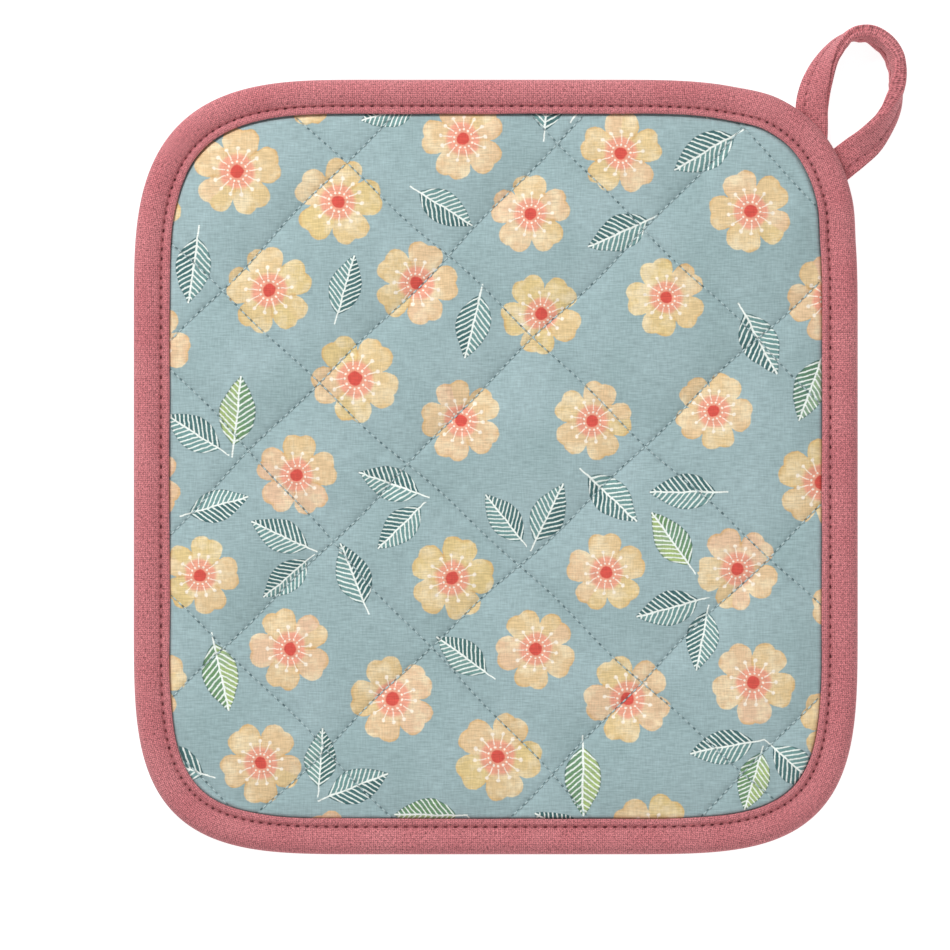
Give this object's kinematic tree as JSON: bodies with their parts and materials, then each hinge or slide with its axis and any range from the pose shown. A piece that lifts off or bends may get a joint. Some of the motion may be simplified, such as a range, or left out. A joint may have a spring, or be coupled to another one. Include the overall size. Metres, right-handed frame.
{
  "type": "pot holder",
  "caption": "Square quilted cotton pot holder with rounded corners, bias binding all round and a hanging loop of folded tape at one corner, lying face up.",
  "frame": {"origin": "middle of the pad on the surface that it lies on", "axes": "+X to the picture's right, +Y to the picture's top, towards the side with the loop, +Z out of the printed face"},
  "size_m": [0.2131, 0.2288, 0.009],
  "materials": {
    "printed_cotton": "plain woven cotton, printed, matt, quilted through soft wadding",
    "binding_cotton": "dusty pink woven cotton bias tape, matt, topstitched"
  },
  "bodies": {
    "root": {"quilted_pad": "printed_cotton", "edge_binding": "binding_cotton", "hanging_loop": "binding_cotton"}
  },
  "joints": []
}
